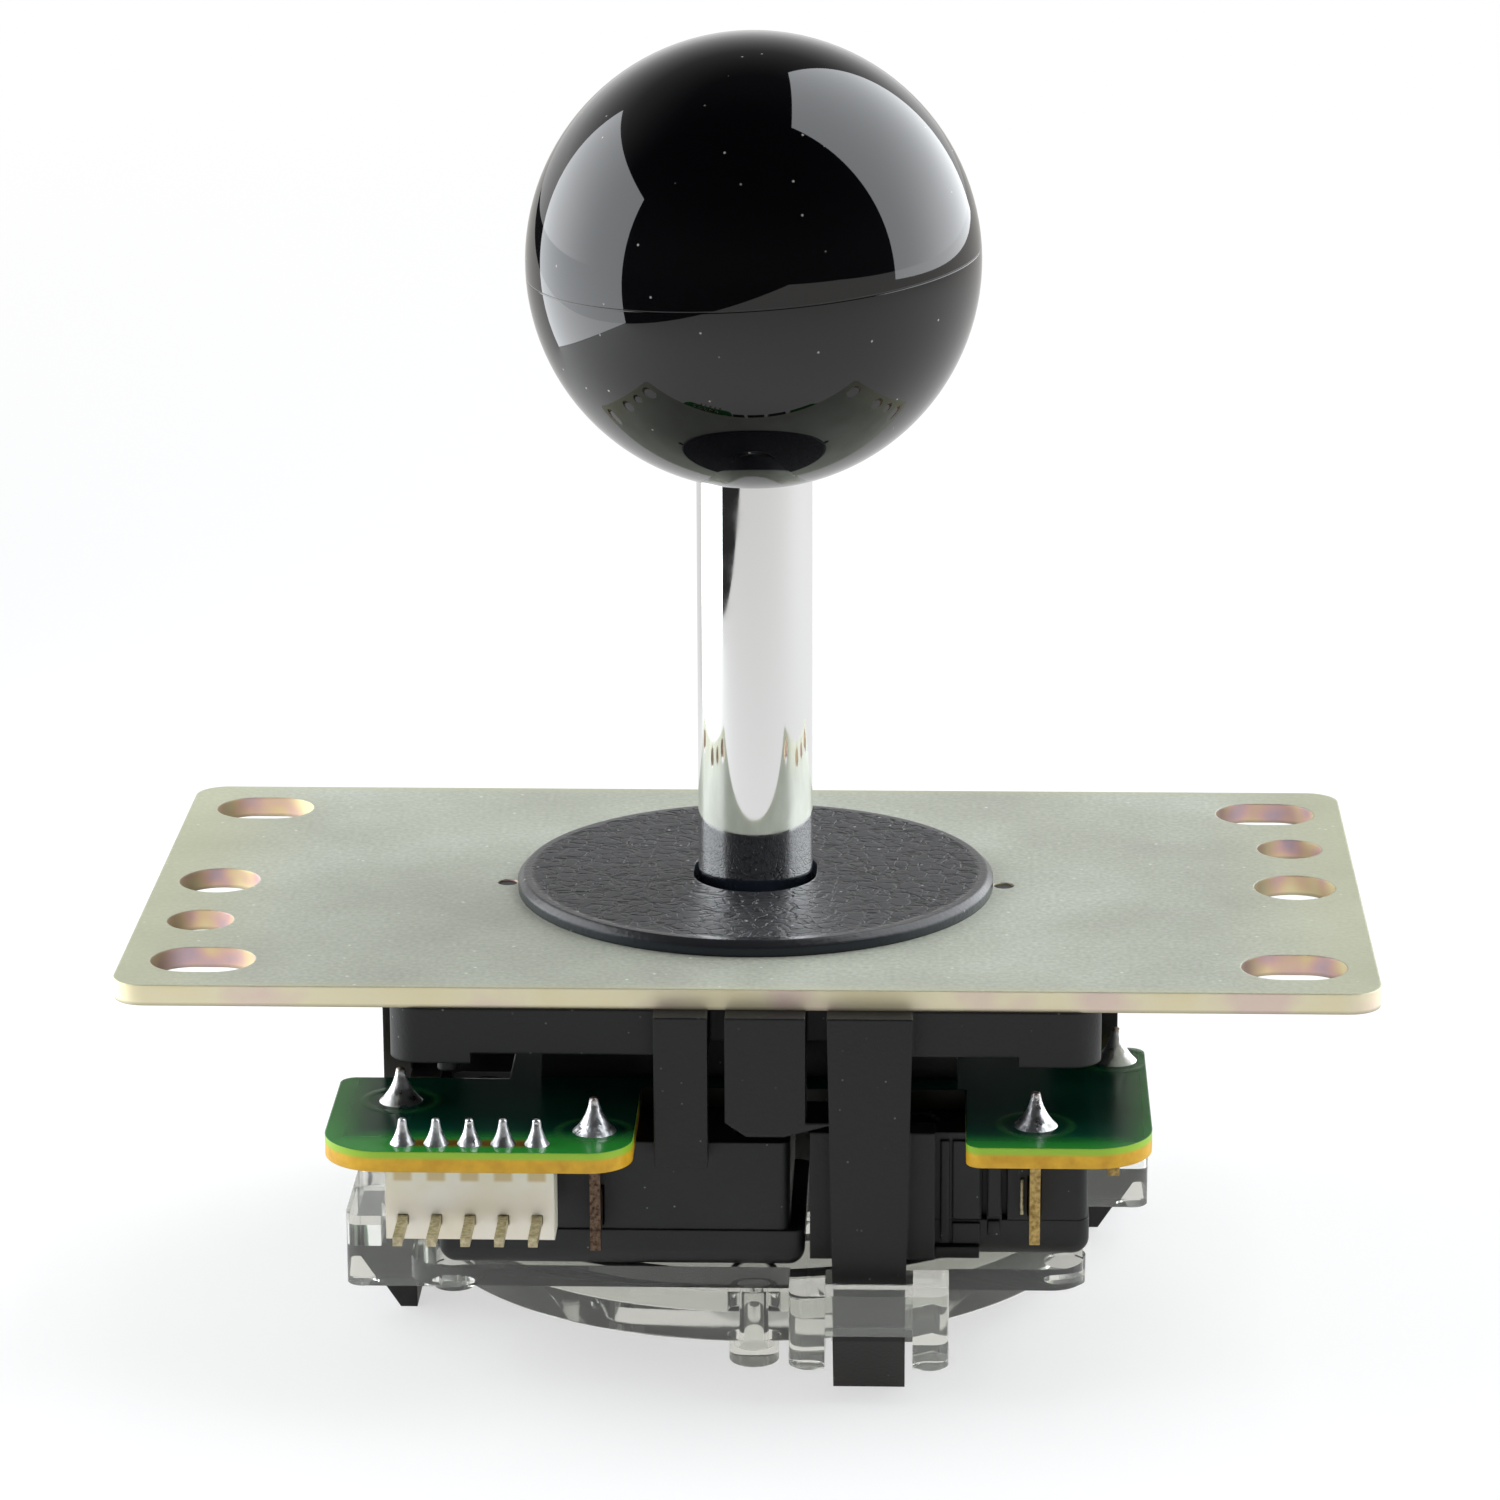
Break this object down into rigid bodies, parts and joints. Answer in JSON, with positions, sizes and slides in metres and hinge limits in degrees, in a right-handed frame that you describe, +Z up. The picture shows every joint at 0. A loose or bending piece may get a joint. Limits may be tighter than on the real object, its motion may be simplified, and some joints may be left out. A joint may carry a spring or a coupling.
{
  "type": "arcade joystick lever",
  "caption": "Ball-top arcade joystick lever on a slotted steel plate, with microswitches, a circuit board and a clear square gate below.",
  "frame": {"origin": "centre of the mounting plate's top face, on the lever's axis", "axes": "+X along the plate, -Y to the front where the connector is, +Z up along the lever"},
  "size_m": [0.095, 0.0682, 0.0987],
  "materials": {
    "ball_plastic": "moulded plastic, glossy black",
    "shaft_chrome": "polished chrome plate",
    "ring_steel": "spring steel, plain",
    "washer_vinyl": "black plastic with a leather grain, satin",
    "plate_steel": "zinc plated steel with a yellow and pink passivated cast, satin",
    "screw_steel": "zinc plated steel",
    "housing_plastic": "moulded black plastic, satin",
    "pivot_plastic": "moulded white plastic",
    "seat_plastic": "moulded white plastic",
    "spring_steel": "spring wire, plain",
    "actuator_plastic": "moulded black plastic, satin",
    "board_laminate": "green solder resist over a yellow glass laminate",
    "solder": "solder, bright",
    "header_plastic": "moulded cream plastic",
    "pin_metal": "tinned brass",
    "clear_plastic": "clear moulded plastic",
    "switch_plastic": "moulded black plastic, satin",
    "plunger_plastic": "moulded white plastic",
    "contact_metal": "spring bronze",
    "terminal_metal": "plated brass"
  },
  "bodies": {
    "base": {"mounting_plate": "plate_steel", "plate_screws": "screw_steel", "main_housing": "housing_plastic", "spring_seat": "seat_plastic", "circuit_board": "board_laminate", "solder_joints": "solder", "header_body": "header_plastic", "header_pins": "pin_metal", "gate_frame": "clear_plastic", "gate_disc": "clear_plastic", "switch_case_front": "switch_plastic", "switch_cover_front": "switch_plastic", "contact_blade_front": "contact_metal", "terminals_front": "terminal_metal", "switch_case_right": "switch_plastic", "switch_cover_right": "switch_plastic", "contact_blade_right": "contact_metal", "terminals_right": "terminal_metal", "switch_case_back": "switch_plastic", "switch_cover_back": "switch_plastic", "contact_blade_back": "contact_metal", "terminals_back": "terminal_metal", "switch_case_left": "switch_plastic", "switch_cover_left": "switch_plastic", "contact_blade_left": "contact_metal", "terminals_left": "terminal_metal"},
    "tilt_ring": {"centring_spring": "spring_steel"},
    "tilt_core": {"pivot": "pivot_plastic", "actuator": "actuator_plastic"},
    "lever": {"shaft": "shaft_chrome", "ball_top": "ball_plastic", "retaining_ring": "ring_steel"},
    "washer": {"dust_washer": "washer_vinyl"},
    "plunger_front": {"plunger_front": "plunger_plastic"},
    "plunger_right": {"plunger_right": "plunger_plastic"},
    "plunger_back": {"plunger_back": "plunger_plastic"},
    "plunger_left": {"plunger_left": "plunger_plastic"}
  },
  "joints": [
    {"name": "tilt_fore_aft", "type": "hinge", "parent": "base", "child": "tilt_ring", "pos_m": [0, 0, -0.007], "axis": [1, 0, 0], "range_deg": [-8, 8], "stiffness_Nm_per_rad": 0.6, "deforming": ["centring_spring"]},
    {"name": "tilt_side", "type": "hinge", "parent": "tilt_ring", "child": "tilt_core", "pos_m": [0, 0, -0.007], "axis": [0, 1, 0], "range_deg": [-8, 8], "stiffness_Nm_per_rad": 0.6, "deforming": ["centring_spring"]},
    {"name": "lever_spin", "type": "hinge", "parent": "tilt_core", "child": "lever", "pos_m": [0, 0, -0.007], "axis": [0, 0, 1], "continuous": true},
    {"name": "washer_slide", "type": "slide", "parent": "base", "child": "washer", "axis": [1, 0, 0], "range_m": [-0.00106, 0.00106]},
    {"name": "plunger_slide_front", "type": "slide", "parent": "base", "child": "plunger_front", "axis": [0, -1, 0], "range_m": [-0.00153, 0.00153]},
    {"name": "plunger_slide_right", "type": "slide", "parent": "base", "child": "plunger_right", "axis": [1, 0, 0], "range_m": [-0.00153, 0.00153]},
    {"name": "plunger_slide_back", "type": "slide", "parent": "base", "child": "plunger_back", "axis": [0, 1, 0], "range_m": [-0.00153, 0.00153]},
    {"name": "plunger_slide_left", "type": "slide", "parent": "base", "child": "plunger_left", "axis": [-1, 0, 0], "range_m": [-0.00153, 0.00153]}
  ],
  "couplings": [
    {"joint": "washer_slide", "follows": "tilt_side", "m_per_rad": 0.0076},
    {"joint": "plunger_slide_left", "follows": "tilt_side", "m_per_rad": 0.010925},
    {"joint": "plunger_slide_right", "follows": "tilt_side", "m_per_rad": -0.010925},
    {"joint": "plunger_slide_back", "follows": "tilt_fore_aft", "m_per_rad": 0.010925},
    {"joint": "plunger_slide_front", "follows": "tilt_fore_aft", "m_per_rad": -0.010925}
  ]
}
